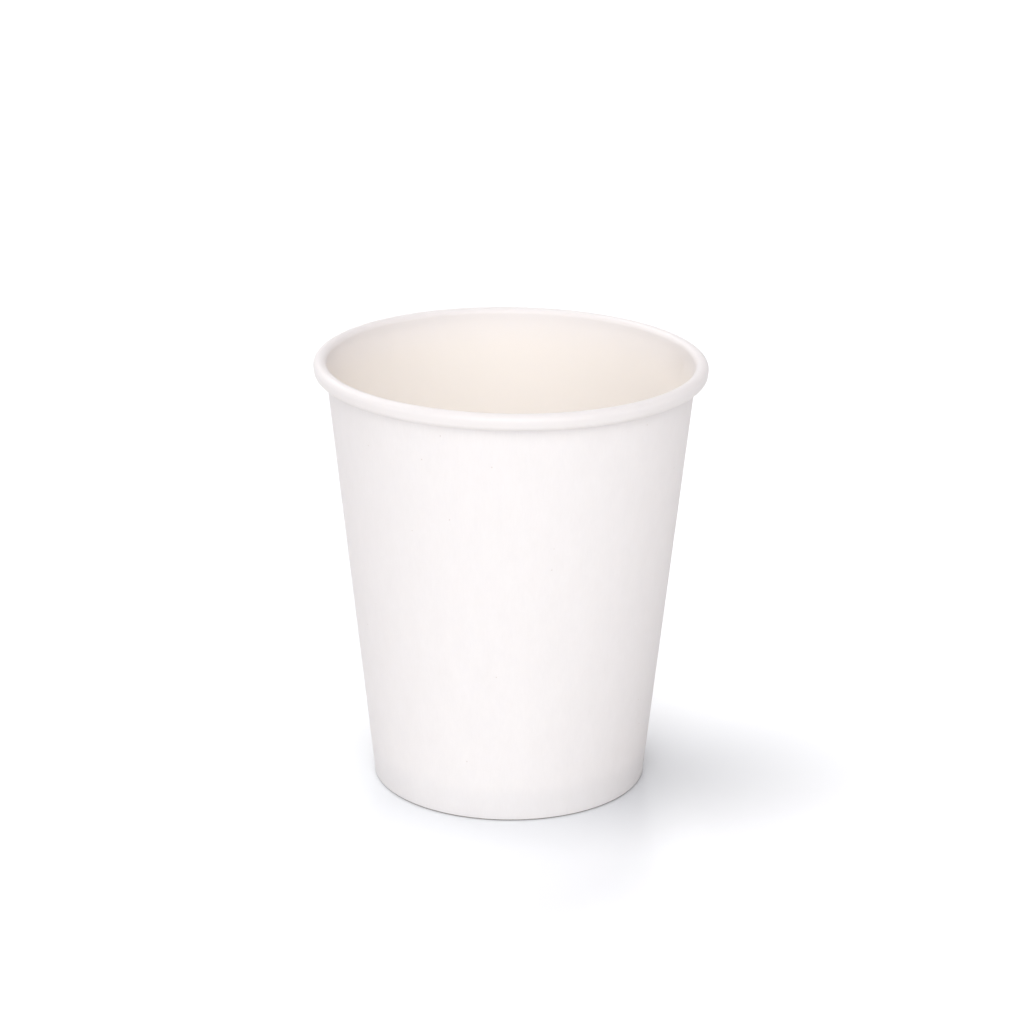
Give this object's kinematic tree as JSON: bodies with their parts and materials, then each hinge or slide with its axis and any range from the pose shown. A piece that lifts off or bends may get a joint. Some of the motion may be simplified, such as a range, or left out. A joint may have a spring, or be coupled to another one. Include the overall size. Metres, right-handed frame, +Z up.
{
  "type": "paper coffee cup",
  "caption": "Single-wall paper hot-drink cup with a rolled rim, lapped side seam and recessed bottom disc; open, no lid, plain white outside and cream inside.",
  "frame": {"origin": "centre of the foot, on the plane that the cup stands on", "axes": "+Z up the cup's axis from the foot to the rim; +X points towards the side seam, whose outer raw edge is 4 degrees round from it towards +Y; the picture looks along +Y and down"},
  "size_m": [0.08, 0.08, 0.09],
  "materials": {
    "cup_board": "matte uncoated paperboard outside, thin satin food-safe coating on the cream inner face",
    "disc_board": "satin coated paperboard, cream"
  },
  "bodies": {
    "root": {"side_wall": "cup_board", "bottom_disc": "disc_board"}
  },
  "joints": []
}
